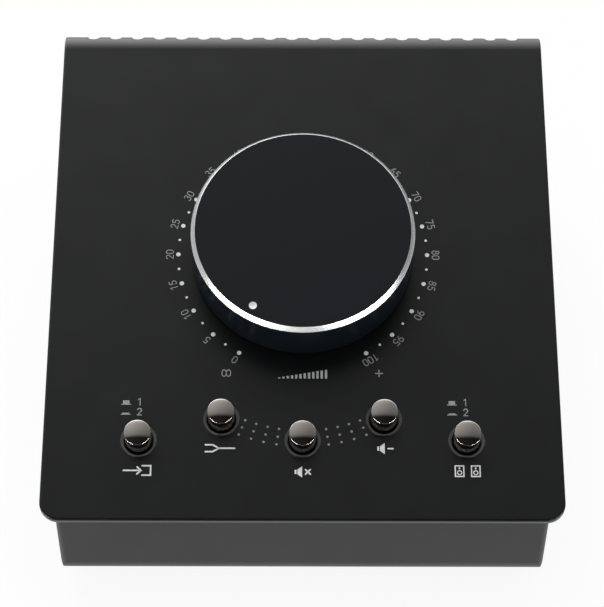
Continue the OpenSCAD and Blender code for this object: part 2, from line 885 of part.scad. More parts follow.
// Jack: square housing behind the panel, threaded nose through it, and a blind hole for the plug
module jack(column, row) {
    nose_l = rear_t + nose_rise;
    color("#202428") translate([jack_columns[column], 0, jack_rows[row]]) difference() {
        union() {
            translate([-jack_w / 2, jack_back_y, -jack_w / 2]) cube([jack_w, jack_l, jack_w]);
            rearward(nose_d, panel_in_y - 0.1, nose_l + 0.1);
        }
        rearward(plug_d, panel_in_y + nose_l - plug_l, plug_l + 1);
    }
}

module source_1_left_jack() {
    jack(3, 1);
}

module source_1_right_jack() {
    jack(2, 1);
}

module source_2_left_jack() {
    jack(3, 0);
}

module source_2_right_jack() {
    jack(2, 0);
}

module monitor_1_left_jack() {
    jack(1, 1);
}

module monitor_1_right_jack() {
    jack(0, 1);
}

module monitor_2_left_jack() {
    jack(1, 0);
}

module monitor_2_right_jack() {
    jack(0, 0);
}

module jack_washers() {
    color("#b9bcc0") jack_places() difference() {
        rearward(jack_washer_d, panel_out_y, jack_washer_t);
        rearward(nose_d + 2 * hole_gap, panel_out_y - 1, jack_washer_t + 2);
    }
}

// Round nuts with four grip notches
module jack_nuts() {
    y0 = panel_out_y + jack_washer_t;
    notch = [1.4, 2, 1.8];
    color("#c2c5c8") jack_places() difference() {
        rearward(jack_nut_d, y0, jack_nut_t);
        rearward(nose_d + 2 * seat_gap, y0 - 1, jack_nut_t + 2);
        for (a = [0 : 90 : 270]) {
            rotate([0, a, 0]) translate([jack_nut_d / 2, y0 + jack_nut_t, 0]) cube(notch, center = true);
        }
    }
}

module jack_board() {
    color("#1f5a3a") difference() {
        translate([-jack_board_w / 2, jack_back_y - board_t, foot_h + jack_mid_z - jack_board_h / 2])
            cube([jack_board_w, board_t, jack_board_h]);
        jack_places() rearward(plug_d + 1, jack_back_y - board_t - 1, board_t + 2);
    }
}

// ---------------------------------------------------------------- ribbon cable

// Box header, open at the top: its foot is at z = 0 and its width runs along X
module box_header() {
    difference() {
        translate([-header_w / 2, -header_t / 2, 0]) cube([header_w, header_t, header_h]);
        translate([-header_w / 2 + header_wall, -header_t / 2 + header_wall, header_floor])
            cube([header_w - 2 * header_wall, header_t - 2 * header_wall, header_h]);
    }
}

// The socket that plugs into it, with the strain bar outside
module ribbon_plug() {
    inset = header_wall + free_gap;
    translate([-header_w / 2 + inset, -header_t / 2 + inset, header_floor])
        cube([header_w - 2 * inset, header_t - 2 * inset, header_h + socket_rise - header_floor]);
}

module under_board() {
    on_face() translate([0, header_y, board_under]) rotate([180, 0, 0]) children();
}

module on_jack_board() {
    translate([0, jack_back_y - board_t, ribbon_to_z]) rotate([90, 0, 0]) children();
}

module control_header() {
    color("#2c2c2c") under_board() box_header();
}

module jack_header() {
    color("#2c2c2c") on_jack_board() box_header();
}

module control_socket() {
    color("#6b6e72") under_board() ribbon_plug();
}

module jack_socket() {
    color("#6b6e72") on_jack_board() ribbon_plug();
}

module ribbon_cable() {
    half = ribbon_t / 2;
    color("#9aa3ad") across(ribbon_w) {
        intersection() {
            translate([ribbon_mid_y, ribbon_mid_z]) difference() {
                circle(r = ribbon_r + half);
                circle(r = ribbon_r - half);
            }
            translate([ribbon_mid_y, ribbon_mid_z]) polygon([
                [0, 0], [-2 * ribbon_r * face_cos, -2 * ribbon_r * face_sin], [-2 * ribbon_r, -2 * ribbon_r],
                [0, -2 * ribbon_r]
            ]);
        }
        translate([ribbon_mid_y, ribbon_to_z - half]) square([ribbon_to_y - ribbon_mid_y, ribbon_t]);
    }
}

top_cover();
chassis_tray();
rear_panel();
rubber_feet();
left_rail();
right_rail();
side_screws();
rear_screws();
knob_shell();
knob_core();
knob_clip();
pointer_dot();
pot_body();
pot_bushing();
pot_shaft();
pot_washer();
pot_nut();
control_board();
board_pillars();
board_screws();
source_switch();
mono_switch();
mute_switch();
dim_switch();
monitor_switch();
source_plunger();
mono_plunger();
mute_plunger();
dim_plunger();
monitor_plunger();
source_cap();
mono_cap();
mute_cap();
dim_cap();
monitor_cap();
jack_board();
source_1_left_jack();
source_1_right_jack();
source_2_left_jack();
source_2_right_jack();
monitor_1_left_jack();
monitor_1_right_jack();
monitor_2_left_jack();
monitor_2_right_jack();
jack_nuts();
jack_washers();
control_header();
jack_header();
control_socket();
jack_socket();
ribbon_cable();
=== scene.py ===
import json
import math

import bmesh
import bpy
from mathutils import Matrix, Vector


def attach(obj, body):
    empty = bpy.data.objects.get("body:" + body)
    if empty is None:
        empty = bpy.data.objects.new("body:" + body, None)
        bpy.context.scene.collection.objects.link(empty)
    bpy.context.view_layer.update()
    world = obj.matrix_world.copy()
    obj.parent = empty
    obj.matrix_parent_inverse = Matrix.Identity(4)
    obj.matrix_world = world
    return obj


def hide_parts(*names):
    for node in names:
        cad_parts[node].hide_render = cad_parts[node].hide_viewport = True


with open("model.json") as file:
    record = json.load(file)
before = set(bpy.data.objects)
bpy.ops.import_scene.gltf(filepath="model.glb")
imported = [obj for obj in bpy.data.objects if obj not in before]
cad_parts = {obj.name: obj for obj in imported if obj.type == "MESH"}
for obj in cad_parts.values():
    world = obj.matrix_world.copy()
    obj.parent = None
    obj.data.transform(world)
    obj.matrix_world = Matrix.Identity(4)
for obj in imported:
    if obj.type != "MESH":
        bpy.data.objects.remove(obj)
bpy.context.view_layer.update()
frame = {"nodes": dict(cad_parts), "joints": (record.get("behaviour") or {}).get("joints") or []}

nodes = frame["nodes"]

# ---------------------------------------------------------------- control face and camera
# Everything on top of the box is laid out in millimetres from the knob's axis on the sloped control
# face: x to the right, y up the slope, z standing off the face. The camera stands in front of the
# face, above it, where the photograph was taken from.
mm = 0.001
knob_joint = next(joint for joint in frame["joints"] if joint["name"] == "knob_turn")
face_up = -Vector(knob_joint["axis"]).normalized()
face_right = Vector((1, 0, 0))
face = Matrix((face_right, face_up.cross(face_right), face_up)).transposed().to_4x4()
face.translation = Vector(knob_joint["pos_m"])

photo_long_side = 607
photo_focal_pixels = 2179.2
# The camera's place is in that frame, and its turn is an axis as long as the turn in degrees.
camera_place = Vector((-2.3, -265.5, 525.8)) * mm
camera_turn = Vector((25.510, -0.238, 0.101))

camera_data = bpy.data.cameras.new("camera")
camera_data.lens = photo_focal_pixels * camera_data.sensor_width / photo_long_side
camera_data.clip_start = 10 * mm
camera = bpy.data.objects.new("camera", camera_data)
turned = Matrix.Rotation(math.radians(camera_turn.length), 4, camera_turn)
camera.matrix_world = face @ Matrix.Translation(camera_place) @ turned
bpy.context.scene.collection.objects.link(camera)
bpy.context.scene.camera = camera

# ---------------------------------------------------------------- studio
# A white table in a plain room, in metres: broad soft light from the rear, dim straight overhead and
# almost dark round the camera. One lamp fills the matt surfaces, and only gloss sees the two strips
# and the black card in front of the box.
bpy.context.scene.view_settings.view_transform = "Standard"


def node_maker(tree):
    """Empties a node tree, and gives a function that adds a node, its settings and what feeds it."""
    tree.nodes.clear()

    def add(kind, inputs=None, **settings):
        node = tree.nodes.new(kind)
        for key, value in settings.items():
            setattr(node, key, value)
        for socket, value in (inputs or {}).items():
            if isinstance(value, bpy.types.NodeSocket):
                tree.links.new(value, node.inputs[socket])
            else:
                node.inputs[socket].default_value = value
        return node

    return add


def light_room():
    """The room seen in every direction: in the middle its level follows the angle from straight up
    to the rear, and towards the sides it falls to one low level."""
    levels_by_angle = [(-180, 0.60), (-100, 0.95), (-84, 1.10), (-79, 0.08), (-40, 0.03), (-3, 0.02),
                       (3, 0.29), (10, 0.38), (18, 0.48), (25, 0.55), (31, 0.78), (35, 2.3),
                       (46, 2.8), (60, 2.9), (88, 2.7), (96, 1.2), (179, 0.60)]
    level_beside = 0.30
    middle_ends, sides_begin = 0.50, 0.85
    brighter_left = -1.2
    least_share, most_share = 0.7, 1.35
    world = bpy.data.worlds.new("room")
    bpy.context.scene.world = world
    world.use_nodes = True
    add = node_maker(world.node_tree)
    way = add("ShaderNodeSeparateXYZ", {0: add("ShaderNodeTexCoord").outputs["Generated"]})
    angle = add("ShaderNodeMath", {0: way.outputs["Y"], 1: way.outputs["Z"]}, operation="ARCTAN2")
    along = add("ShaderNodeMath", {0: angle.outputs[0], 1: 0.5 / math.pi, 2: 0.5}, operation="MULTIPLY_ADD")
    ramp = add("ShaderNodeValToRGB", {0: along.outputs[0]})
    stops = ramp.color_ramp.elements
    while len(stops) < len(levels_by_angle):
        stops.new(0.5)
    for stop, (degrees, level) in zip(stops, levels_by_angle):
        stop.position = degrees / 360 + 0.5
        stop.color = (level, level, level, 1)
    sideways = add("ShaderNodeMath", {0: way.outputs["X"], 1: brighter_left, 2: 1.0},
                   operation="MULTIPLY_ADD")
    bounded = add("ShaderNodeClamp", {0: sideways.outputs[0], 1: least_share, 2: most_share})
    off_middle = add("ShaderNodeMath", {0: way.outputs["X"]}, operation="ABSOLUTE")
    beside = add("ShaderNodeMapRange", {0: off_middle.outputs[0], 1: middle_ends, 2: sides_begin},
                 interpolation_type="SMOOTHSTEP")
    grey_beside = (level_beside, level_beside, level_beside, 1)
    level = add("ShaderNodeMix", {0: beside.outputs[0], 6: ramp.outputs[0], 7: grey_beside}, data_type="RGBA")
    room = add("ShaderNodeBackground", {"Color": level.outputs[2], "Strength": bounded.outputs[0]})
    white = add("ShaderNodeBackground", {"Color": (1, 1, 1, 1), "Strength": 1.0})
    path = add("ShaderNodeLightPath")
    seen = add("ShaderNodeMath", {0: path.outputs["Is Camera Ray"],
                                  1: path.outputs["Is Transmission Ray"]}, operation="MAXIMUM")
    shown = add("ShaderNodeMixShader", {0: seen.outputs[0], 1: room.outputs[0], 2: white.outputs[0]})
    add("ShaderNodeOutputWorld", {0: shown.outputs[0]})


def add_lamp(name, place, aim, size, watts, seen_in):
    """A rectangular lamp, which lights either matt surfaces or gloss."""
    data = bpy.data.lights.new(name, "AREA")
    data.shape = "RECTANGLE"
    data.size, data.size_y = size
    data.energy = watts
    lamp = bpy.data.objects.new(name, data)
    facing = (Vector(aim) - Vector(place)).to_track_quat("-Z", "Y").to_matrix().to_4x4()
    lamp.matrix_world = Matrix.Translation(place) @ facing
    lamp.visible_glossy = seen_in == "gloss"
    lamp.visible_diffuse = seen_in == "matt"
    bpy.context.scene.collection.objects.link(lamp)


def hang_lamps():
    """A low strip to each side in front of the box, and a square soft lamp overhead."""
    strip_aside, strip_y, strip_z = 0.75, -0.70, 0.24
    strip_length, strip_width, strip_watts = 0.90, 0.18, 9.0
    aim_z = 0.05
    for name, side in (("strip_left", -1), ("strip_right", 1)):
        add_lamp(name, (side * strip_aside, strip_y, strip_z), (0, 0, aim_z), (strip_length, strip_width),
                 strip_watts, seen_in="gloss")
    fill_x, fill_y, fill_z = -0.1, -0.1, 1.6
    fill_side, fill_watts = 1.6, 13.0
    add_lamp("overhead_fill", (fill_x, fill_y, fill_z), (0, 0, 0), (fill_side, fill_side), fill_watts,
             seen_in="matt")


def lay_table():
    """A long white table. The camera and gloss see it evenly white, and it keeps the box's shadow."""
    half_width, reach = 0.5, 12.0
    glow_share = 0.92
    mesh = bpy.data.meshes.new("table_top")
    mesh.from_pydata([(-half_width, -reach, 0), (half_width, -reach, 0), (half_width, reach, 0),
                      (-half_width, reach, 0)], [], [(0, 1, 2, 3)])
    table = bpy.data.objects.new("table_top", mesh)
    bpy.context.scene.collection.objects.link(table)
    white = bpy.data.materials.new("white_table")
    white.use_nodes = True
    add = node_maker(white.node_tree)
    laminate = add("ShaderNodeBsdfPrincipled", {"Base Color": (0.92, 0.92, 0.92, 1), "Roughness": 0.9,
                                                "Specular IOR Level": 0.0})
    glow = add("ShaderNodeEmission", {"Color": (1, 1, 1, 1), "Strength": 1.0})
    path = add("ShaderNodeLightPath")
    mirrored = add("ShaderNodeMath", {0: path.outputs["Is Glossy Ray"],
                                      1: path.outputs["Is Transmission Ray"]}, operation="MAXIMUM")
    seen = add("ShaderNodeMath", {0: mirrored.outputs[0], 1: path.outputs["Is Camera Ray"]},
               operation="MAXIMUM")
    share = add("ShaderNodeMath", {0: seen.outputs[0], 1: glow_share}, operation="MULTIPLY")
    lit = add("ShaderNodeMixShader", {0: share.outputs[0], 1: laminate.outputs[0], 2: glow.outputs[0]})
    add("ShaderNodeOutputMaterial", {0: lit.outputs[0]})
    mesh.materials.append(white)


def lay_black_card():
    """A black card lies on the table in front of the box, beyond the picture, with the middle of its
    near edge folded up. Only gloss sees it, so that the caps' lower halves are dark."""
    near, far, reach = -0.15, -0.80, 0.80
    fold_reach, fold_low, fold_high = 0.13, 0.002, 0.048
    card_z = 0.001
    corners = [(-reach, far, card_z), (reach, far, card_z), (reach, near, card_z), (-reach, near, card_z),
               (-fold_reach, near, fold_low), (fold_reach, near, fold_low),
               (fold_reach, near, fold_high), (-fold_reach, near, fold_high)]
    mesh = bpy.data.meshes.new("black_card")
    mesh.from_pydata(corners, [], [(0, 1, 2, 3), (4, 5, 6, 7)])
    card = bpy.data.objects.new("black_card", mesh)
    bpy.context.scene.collection.objects.link(card)
    card.visible_camera = card.visible_diffuse = card.visible_shadow = False
    black = bpy.data.materials.new("black_card")
    black.use_nodes = True
    add = node_maker(black.node_tree)
    paper = add("ShaderNodeBsdfPrincipled", {"Base Color": (0.02, 0.02, 0.02, 1), "Roughness": 0.9,
                                             "Specular IOR Level": 0.0})
    add("ShaderNodeOutputMaterial", {0: paper.outputs[0]})
    mesh.materials.append(black)


light_room()
hang_lamps()
lay_table()
lay_black_card()

# ---------------------------------------------------------------- cover
# One thick steel sheet: the control face, folded down at the rear through a bend that carries the
# vent slots. It is powder painted black, with a fine grain that lies thinner on the sheet's edges.


def effect(name, inputs, outputs):
    """A shader node group with named number inputs and outputs, and a function that adds its nodes."""
    tree = bpy.data.node_groups.new(name, "ShaderNodeTree")
    for socket, value in inputs.items():
        tree.interface.new_socket(socket, in_out="INPUT", socket_type="NodeSocketFloat").default_value = value
    for socket in outputs:
        tree.interface.new_socket(socket, in_out="OUTPUT", socket_type="NodeSocketFloat")
    return tree, node_maker(tree)


def make_grain():
    """Grain of paint or moulding. Size is the grain in mm and Patch the width of its soft drifts."""
    swell_share, swell_weight = 0.28, 0.8
    least_patch, most_patch = 0.35, 0.65
    tree, add = effect("grain", {"Size": 0.3, "Patch": 12.0}, ["Height", "Drift"])
    given = add("NodeGroupInput")
    where = add("ShaderNodeTexCoord").outputs["Object"]
    fine_scale = add("ShaderNodeMath", {0: 1 / mm, 1: given.outputs["Size"]}, operation="DIVIDE")
    fine = add("ShaderNodeTexNoise", {"Vector": where, "Scale": fine_scale.outputs[0], "Detail": 3.0,
                                      "Roughness": 0.6})
    swell_scale = add("ShaderNodeMath", {0: fine_scale.outputs[0], 1: swell_share}, operation="MULTIPLY")
    swell = add("ShaderNodeTexNoise", {"Vector": where, "Scale": swell_scale.outputs[0], "Detail": 1.0})
    height = add("ShaderNodeMath", {0: swell.outputs[0], 1: swell_weight, 2: fine.outputs[0]},
                 operation="MULTIPLY_ADD")
    patch_scale = add("ShaderNodeMath", {0: 1 / mm, 1: given.outputs["Patch"]}, operation="DIVIDE")
    patch = add("ShaderNodeTexNoise", {"Vector": where, "Scale": patch_scale.outputs[0], "Detail": 4.0})
    drift = add("ShaderNodeMapRange", {0: patch.outputs[0], 1: least_patch, 2: most_patch})
    add("NodeGroupOutput", {"Height": height.outputs[0], "Drift": drift.outputs[0]})
    return tree


def make_edge_rub():
    """Where a finish is rubbed thin: 1 on edges, broken up so that no edge is even. Width is in mm."""
    rub_starts, rub_full = 0.985, 0.88
    breaks_per_metre = 600.0
    least_break, most_break, least_rub = 0.35, 0.60, 0.25
    tree, add = effect("edge rub", {"Width": 0.3}, ["Rub"])
    given = add("NodeGroupInput")
    in_metres = add("ShaderNodeMath", {0: given.outputs["Width"], 1: mm}, operation="MULTIPLY")
    rounded = add("ShaderNodeBevel", {"Radius": in_metres.outputs[0]}, samples=6)
    flat = add("ShaderNodeNewGeometry")
    turn = add("ShaderNodeVectorMath", {0: rounded.outputs[0], 1: flat.outputs["Normal"]},
               operation="DOT_PRODUCT")
    edge = add("ShaderNodeMapRange", {0: turn.outputs["Value"], 1: rub_starts, 2: rub_full})
    where = add("ShaderNodeTexCoord").outputs["Object"]
    broken = add("ShaderNodeTexNoise", {"Vector": where, "Scale": breaks_per_metre, "Detail": 4.0})
    uneven = add("ShaderNodeMapRange", {0: broken.outputs[0], 1: least_break, 2: most_break,
                                        3: least_rub, 4: 1.0})
    rub = add("ShaderNodeMath", {0: edge.outputs[0], 1: uneven.outputs[0]}, operation="MULTIPLY")
    add("NodeGroupOutput", {"Rub": rub.outputs[0]})
    return tree


grain = make_grain()
edge_rub = make_edge_rub()


def finish(name, colour, roughness, *, size=0.3, patch=12.0, relief=0.15, tone=0.12, gloss=0.05, metallic=0.0,
           specular=0.5, rub_colour=None, rub_width=0.3, soft_edge=0.0):
    """A painted, moulded or plated finish: its colour and gloss drift softly, and its grain stands up a
    little. With rub_colour, its edges are rubbed to that colour. Soft_edge, in mm, is how far the paint
    flows round over a cut edge."""
    grain_rise = 0.1
    material = bpy.data.materials.new(name)
    material.use_nodes = True
    add = node_maker(material.node_tree)
    skin = add("ShaderNodeGroup", {"Size": size, "Patch": patch}, node_tree=grain)
    darker = [c * (1 - tone) for c in colour] + [1]
    paler = [min(1, c * (1 + tone)) for c in colour] + [1]
    shade = add("ShaderNodeMix", {0: skin.outputs["Drift"], 6: darker, 7: paler}, data_type="RGBA").outputs[2]
    sheen = add("ShaderNodeMapRange", {0: skin.outputs["Drift"], 3: roughness - gloss, 4: roughness + gloss})
    if rub_colour:
        rub = add("ShaderNodeGroup", {"Width": rub_width}, node_tree=edge_rub)
        shade = add("ShaderNodeMix", {0: rub.outputs["Rub"], 6: shade, 7: [*rub_colour, 1]},
                    data_type="RGBA").outputs[2]
    bumps = add("ShaderNodeBump", {"Strength": relief, "Distance": grain_rise * mm,
                                   "Height": skin.outputs["Height"]})
    if soft_edge:
        flow = add("ShaderNodeBevel", {"Radius": soft_edge * mm}, samples=8)
        material.node_tree.links.new(flow.outputs[0], bumps.inputs["Normal"])
    shader = add("ShaderNodeBsdfPrincipled", {"Base Color": shade, "Roughness": sheen.outputs[0],
                                              "Normal": bumps.outputs[0], "Metallic": metallic,
                                              "Specular IOR Level": specular})
    add("ShaderNodeOutputMaterial", {0: shader.outputs[0]})
    return material


def dress(material, *names):
    """Gives CAD nodes their finish."""
    for name in names:
        for material_slot in nodes[name].material_slots:
            material_slot.material = material


cover_paint = finish("cover_paint", (0.0018, 0.0023, 0.0027), 0.31, relief=0.10, gloss=0.015, specular=0.5,
                     rub_colour=(0.020, 0.020, 0.020), rub_width=0.5, soft_edge=0.8)
dress(cover_paint, "top_cover")

# ---------------------------------------------------------------- tray and rear panel
# The tray is thinner steel, folded up at the front and sides with closed corners, and painted a
# shade lighter than the cover. The rear panel is a flat plate screwed to the tray's rear lip.
tray_paint = finish("tray_paint", (0.0125, 0.0132, 0.0135), 0.40, relief=0.10, gloss=0.03, specular=0.42,
                    rub_colour=(0.04, 0.04, 0.04), rub_width=0.4)
dress(tray_paint, "chassis_tray", "rear_panel")

# ---------------------------------------------------------------- feet
# Four moulded rubber discs, stuck under the floor near its corners. Each tapers a little and has a
# shallow hollow in the middle of its sole.
foot_rubber = finish("foot_rubber", (0.018, 0.018, 0.018), 0.85, size=0.5, relief=0.5, tone=0.25)
dress(foot_rubber, "rubber_feet")

# ---------------------------------------------------------------- rails and screws
# Two zinc-plated angle strips under the cover's edges take the side screws. All the outside screws
# are black-oxide pan heads, rubbed a little on the rim of the cross.
zinc_plate = finish("zinc_plate", (0.50, 0.51, 0.53), 0.36, size=0.8, patch=5.0, relief=0.08, metallic=1.0)
dress(zinc_plate, "left_rail", "right_rail")
black_oxide = finish("black_oxide", (0.030, 0.030, 0.032), 0.36, size=0.2, metallic=0.7,
                     rub_colour=(0.20, 0.20, 0.20), rub_width=0.15)
dress(black_oxide, "side_screws", "rear_screws")

# ---------------------------------------------------------------- potentiometer
# Four gangs of dark green moulding on a brass bushing, which is clamped to the face by a plated steel
# washer and nut. The shaft is plated steel too, and turns in the bushing.
gang_moulding = finish("gang_moulding", (0.02, 0.06, 0.04), 0.45, size=0.4, relief=0.2)
dress(gang_moulding, "pot_body")
turned_brass = finish("turned_brass", (0.62, 0.45, 0.20), 0.28, size=0.15, relief=0.05, metallic=1.0)
dress(turned_brass, "pot_bushing")
bright_steel = finish("bright_steel", (0.62, 0.63, 0.64), 0.24, size=0.15, patch=4.0, relief=0.05,
                      metallic=1.0)
dress(bright_steel, "pot_shaft", "pot_washer", "pot_nut")

# ---------------------------------------------------------------- boards, switches and ribbon
# Two laminate boards with green mask. The control board hangs from four plated pillars and carries
# the five push switches; a grey ribbon joins it to the board behind the sockets.
signs = ["source", "mono", "mute", "dim", "monitor"]
board_mask = finish("board_mask", (0.015, 0.11, 0.05), 0.30, size=0.6, patch=6.0, relief=0.2, tone=0.25)
dress(board_mask, "control_board", "jack_board")
dress(bright_steel, "board_pillars", "board_screws")
switch_moulding = finish("switch_moulding", (0.04, 0.09, 0.20), 0.40, size=0.4)
dress(switch_moulding, *[sign + "_switch" for sign in signs])
plunger_moulding = finish("plunger_moulding", (0.75, 0.73, 0.66), 0.45, size=0.4)
dress(plunger_moulding, *[sign + "_plunger" for sign in signs])
header_moulding = finish("header_moulding", (0.020, 0.020, 0.020), 0.40, size=0.4)
dress(header_moulding, "control_header", "jack_header")
socket_moulding = finish("socket_moulding", (0.14, 0.15, 0.16), 0.45, size=0.4)
dress(socket_moulding, "control_socket", "jack_socket")
ribbon_jacket = finish("ribbon_jacket", (0.38, 0.41, 0.44), 0.50, size=1.2, relief=0.3)
dress(ribbon_jacket, "ribbon_cable")

# ---------------------------------------------------------------- rear sockets
# Eight plug sockets in two rows, moulded in black. The nose of each goes out through the rear panel,
# where a plated washer and a round nut clamp it.
jack_moulding = finish("jack_moulding", (0.014, 0.014, 0.015), 0.35, size=0.3)
dress(jack_moulding, *[name for name in nodes if name.endswith("_jack")])
dress(bright_steel, "jack_nuts", "jack_washers")

# ---------------------------------------------------------------- knob
# A shell turned from aluminium and black anodised, with a chamfer cut bright round its top
# afterwards and a small dimple of pale paint as its pointer. A moulded core in it grips the shaft.
core_moulding = finish("core_moulding", (0.05, 0.05, 0.05), 0.50)
dress(core_moulding, "knob_core")
dress(bright_steel, "knob_clip")


def make_turning():
    """Fine rings left by a lathe round the piece's own z axis. Pitch is their spacing in mm."""
    tree, add = effect("turning", {"Pitch": 0.1}, ["Height", "Streak"])
    given = add("NodeGroupInput")
    on_lathe = add("ShaderNodeAttribute", attribute_name="lathe")
    where = add("ShaderNodeSeparateXYZ", {0: on_lathe.outputs["Vector"]})
    off_axis = add("ShaderNodeCombineXYZ", {0: where.outputs["X"], 1: where.outputs["Y"]})
    radius = add("ShaderNodeVectorMath", {0: off_axis.outputs[0]}, operation="LENGTH")
    along = add("ShaderNodeMath", {0: radius.outputs["Value"], 1: where.outputs["Z"]}, operation="ADD")
    rings = add("ShaderNodeMath", {0: along.outputs[0], 1: given.outputs["Pitch"]}, operation="DIVIDE")
    each = add("ShaderNodeMath", {0: rings.outputs[0], 1: 1 / mm}, operation="MULTIPLY")
    tool = add("ShaderNodeTexNoise", {"W": each.outputs[0], "Scale": 1.0, "Detail": 2.0},
               noise_dimensions="1D")
    add("NodeGroupOutput", {"Height": tool.outputs[0], "Streak": tool.outputs[0]})
    return tree


turning = make_turning()


def turned_metal(name, colour, roughness, *, pitch=0.1, relief=0.1, streak=0.1, metallic=1.0, specular=0.5):
    """A finish left by the lathe: bare, plated or anodised metal, moulding, or paint in a turned hollow."""
    ring_rise = 0.02
    material = bpy.data.materials.new(name)
    material.use_nodes = True
    add = node_maker(material.node_tree)
    lathe = add("ShaderNodeGroup", {"Pitch": pitch}, node_tree=turning)
    darker = [c * (1 - streak) for c in colour] + [1]
    paler = [min(1, c * (1 + streak)) for c in colour] + [1]
    shade = add("ShaderNodeMix", {0: lathe.outputs["Streak"], 6: darker, 7: paler}, data_type="RGBA")
    sheen = add("ShaderNodeMapRange", {0: lathe.outputs["Streak"], 3: roughness * (1 - streak),
                                       4: roughness * (1 + streak)})
    bumps = add("ShaderNodeBump", {"Strength": relief, "Distance": ring_rise * mm,
                                   "Height": lathe.outputs["Height"]})
    shader = add("ShaderNodeBsdfPrincipled", {"Base Color": shade.outputs[2], "Roughness": sheen.outputs[0],
                                              "Normal": bumps.outputs[0], "Metallic": metallic,
                                              "Specular IOR Level": specular})
    add("ShaderNodeOutputMaterial", {0: shader.outputs[0]})
    return material


def rounded(corners, steps=5):
    """An outline of (r, z, radius) corners in mm, each eased by an arc of its radius."""
    outline = []
    for i, (r, z, ease) in enumerate(corners):
        here = Vector((r, z))
        if ease == 0:
            outline.append(here)
            continue
        back = (Vector(corners[i - 1][:2]) - here).normalized()
        ahead = (Vector(corners[(i + 1) % len(corners)][:2]) - here).normalized()
        half = back.angle(ahead) / 2
        centre = here + (back + ahead).normalized() * ease / math.sin(half)
        start = here + back * ease / math.tan(half) - centre
        end = here + ahead * ease / math.tan(half) - centre
        sweep = start.angle(end)
        for k in range(steps + 1):
            part = k / steps
            spoke = start * math.sin((1 - part) * sweep) + end * math.sin(part * sweep)
            outline.append(centre + spoke / math.sin(sweep))
    return outline


def turn_piece(name, outline, place, materials, material_of=None, turns=160):
    """Revolves an outline of (r, z) points in mm round z, closed where it meets the axis. Material_of
    picks a strip's finish by the middle of its line in the outline."""
    on_axis = 1e-6
    sharp_from = 30
    shape = bmesh.new()
    spokes = [(math.cos(2 * math.pi * k / turns), math.sin(2 * math.pi * k / turns)) for k in range(turns)]
    rings = []
    for r, z in outline:
        if r < on_axis:
            rings.append([shape.verts.new((0, 0, z * mm))])
        else:
            rings.append([shape.verts.new((r * mm * x, r * mm * y, z * mm)) for x, y in spokes])
    for i, (one, two) in enumerate(zip(rings, rings[1:] + rings[:1])):
        if len(one) == len(two) == 1:
            continue
        for k in range(turns):
            ring = [one[k % len(one)], one[(k + 1) % len(one)], two[(k + 1) % len(two)], two[k % len(two)]]
            skin = shape.faces.new([v for j, v in enumerate(ring) if v not in ring[:j]])
            if material_of:
                middle = (Vector(outline[i]) + Vector(outline[(i + 1) % len(outline)])) / 2
                skin.material_index = materials.index(material_of(middle))
    bmesh.ops.recalc_face_normals(shape, faces=shape.faces)
    mesh = bpy.data.meshes.new(name)
    shape.to_mesh(mesh)
    shape.free()
    for material in materials:
        mesh.materials.append(material)
    mesh.shade_smooth()
    mesh.set_sharp_from_angle(angle=math.radians(sharp_from))
    piece = bpy.data.objects.new(name, mesh)
    piece.matrix_world = place
    bpy.context.scene.collection.objects.link(piece)
    return piece


def set_down(piece):
    """Stands a turned piece where it belongs. Each point keeps its place on the lathe for the finish."""
    lathe = piece.data.attributes.new("lathe", "FLOAT_VECTOR", "POINT")
    lathe.data.foreach_set("vector", [part for corner in piece.data.vertices for part in corner.co])
    piece.data.transform(piece.matrix_world)
    piece.matrix_world = Matrix()


def face_box(name):
    """Lowest and highest corners of a CAD node in the control face's frame, in mm."""
    off_face = face.inverted()
    places = [off_face @ corner.co / mm for corner in nodes[name].data.vertices]
    return [Vector(limit(place[i] for place in places) for i in range(3)) for limit in (min, max)]


def make_knob():
    """The knob's shell, with support rings that keep its top and wall flat beside each eased edge."""
    cut_height = 1.25
    cut_width = 1.05
    wall = 2.4
    foot_break = 0.4
    edge_ease = 0.16
    flat_until = 0.4
    low, high = face_box("knob_shell")
    r, top, foot = high.x, high.z, low.z
    outline = rounded([
        (0, top, 0), (r - cut_width - flat_until, top, 0), (r - cut_width, top, edge_ease),
        (r, top - cut_height, edge_ease), (r, top - cut_height - flat_until, 0),
        (r, foot + foot_break + flat_until, 0), (r, foot + foot_break, edge_ease),
        (r - foot_break, foot, edge_ease), (r - wall, foot, edge_ease),
        (r - wall, top - wall, 0), (0, top - wall, 0)])
    past_edge = edge_ease / 4

    # The wall takes the paler, bluer anodised copy, which carries a painted reflection.
    def top_chamfer_or_wall(middle):
        if middle.x > r - cut_width - past_edge and middle.y > top - cut_height - past_edge:
            return cut_bright
        return anodised_painted_reflection if middle.x > r - edge_ease else anodised

    return turn_piece("knob", outline, face, [anodised, cut_bright, anodised_painted_reflection], top_chamfer_or_wall,
                      turns=256)


def sink_pointer(knob):
    """Mills the pointer's dimple into the knob's top and fills it with pale paint."""
    depth = 0.28
    sharp_from = 20
    low, high = face_box("pointer_dot")
    middle = (low + high) / 2
    mouth_r = (high.x - low.x) / 2
    ball_r = (mouth_r ** 2 + depth ** 2) / (2 * depth)
    ball_rows = 48
    outline = []
    for k in range(ball_rows + 1):
        a = math.pi * k / ball_rows
        outline.append(Vector((ball_r * math.sin(a), -ball_r * math.cos(a))))
    place = face @ Matrix.Translation(Vector((middle.x, middle.y, high.z - depth + ball_r)) * mm)
    cutter = turn_piece("pointer_cutter", outline, place, [dimple_fill], turns=96)
    milling = knob.modifiers.new("pointer", "BOOLEAN")
    milling.object = cutter
    milling.operation = "DIFFERENCE"
    milling.solver = "EXACT"
    milling.material_mode = "TRANSFER"
    bpy.context.view_layer.update()
    milled = bpy.data.meshes.new_from_object(knob.evaluated_get(bpy.context.evaluated_depsgraph_get()))
    knob.modifiers.clear()
    knob.data = milled
    milled.set_sharp_from_angle(angle=math.radians(sharp_from))
    milled.name = "knob"
    bpy.data.objects.remove(cutter)


